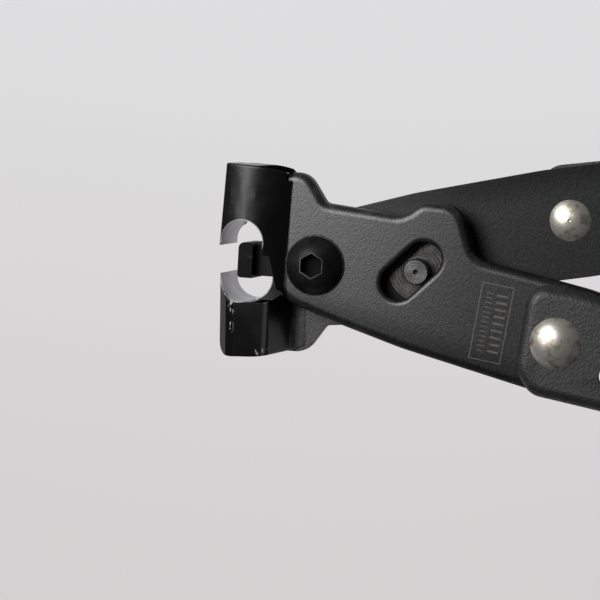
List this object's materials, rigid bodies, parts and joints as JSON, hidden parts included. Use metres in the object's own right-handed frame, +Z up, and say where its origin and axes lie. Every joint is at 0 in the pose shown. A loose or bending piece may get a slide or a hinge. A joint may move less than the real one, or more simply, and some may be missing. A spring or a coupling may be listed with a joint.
{
  "type": "crimping pliers",
  "caption": "Black two-lever clip-closing pliers with notched jaws, a sliding centre plunger driven by a pin in slanted slots, and riveted grip scales.",
  "frame": {"origin": "on the pivot axis, in the flat outer face of the pivot nut, which is the lowest surface when the tool lies on a bench", "axes": "+X from the pivot to the handles along the tool's centre line, +Z up along the pivot axis to the screw head, +Y completes the frame and points to the upper jaw"},
  "size_m": [0.2125, 0.0902, 0.0244],
  "materials": {
    "lever_steel": "satin black coating, finely mottled",
    "jaw_black": "semi-gloss black",
    "black_fastener": "black oxide, semi-gloss",
    "grip": "fine pebbled black plastic",
    "rivet_steel": "nickel plated, lightly stained",
    "bare_steel": "turned bare steel",
    "bearing_bronze": "sintered bronze",
    "badge": "smooth blank badge with a pale border"
  },
  "bodies": {
    "pivot": {"pivot_screw": "black_fastener", "pivot_bush": "bearing_bronze", "pivot_washer": "black_fastener", "pivot_nut": "black_fastener"},
    "front_lever": {"front_lever": "lever_steel", "front_outer_scale": "grip", "front_inner_scale": "grip", "front_near_rivet": "rivet_steel", "front_long_rivets": "rivet_steel", "front_badge": "badge"},
    "rear_lever": {"rear_lever": "lever_steel", "rear_outer_scale": "grip", "rear_inner_scale": "grip", "rear_near_rivet": "rivet_steel", "rear_long_rivets": "rivet_steel", "rear_badge": "badge"},
    "plunger": {"plunger_bar": "lever_steel", "plunger_tip": "jaw_black", "tip_pin": "bare_steel", "guide_hub": "bare_steel", "guide_pin": "bare_steel"}
  },
  "joints": [
    {"name": "front_lever_swing", "type": "hinge", "parent": "pivot", "child": "front_lever", "pos_m": [0, 0, 0.0122], "axis": [0, 0, -1], "range_deg": [-6, 6]},
    {"name": "rear_lever_swing", "type": "hinge", "parent": "pivot", "child": "rear_lever", "pos_m": [0, 0, 0.0122], "axis": [0, 0, 1], "range_deg": [-6, 6]},
    {"name": "plunger_slide", "type": "slide", "parent": "pivot", "child": "plunger", "axis": [1, 0, 0], "range_m": [-0.00255, 0.00255]}
  ],
  "couplings": [
    {"joint": "rear_lever_swing", "follows": "front_lever_swing", "ratio": 1},
    {"joint": "plunger_slide", "follows": "front_lever_swing", "m_per_rad": 0.0234}
  ]
}
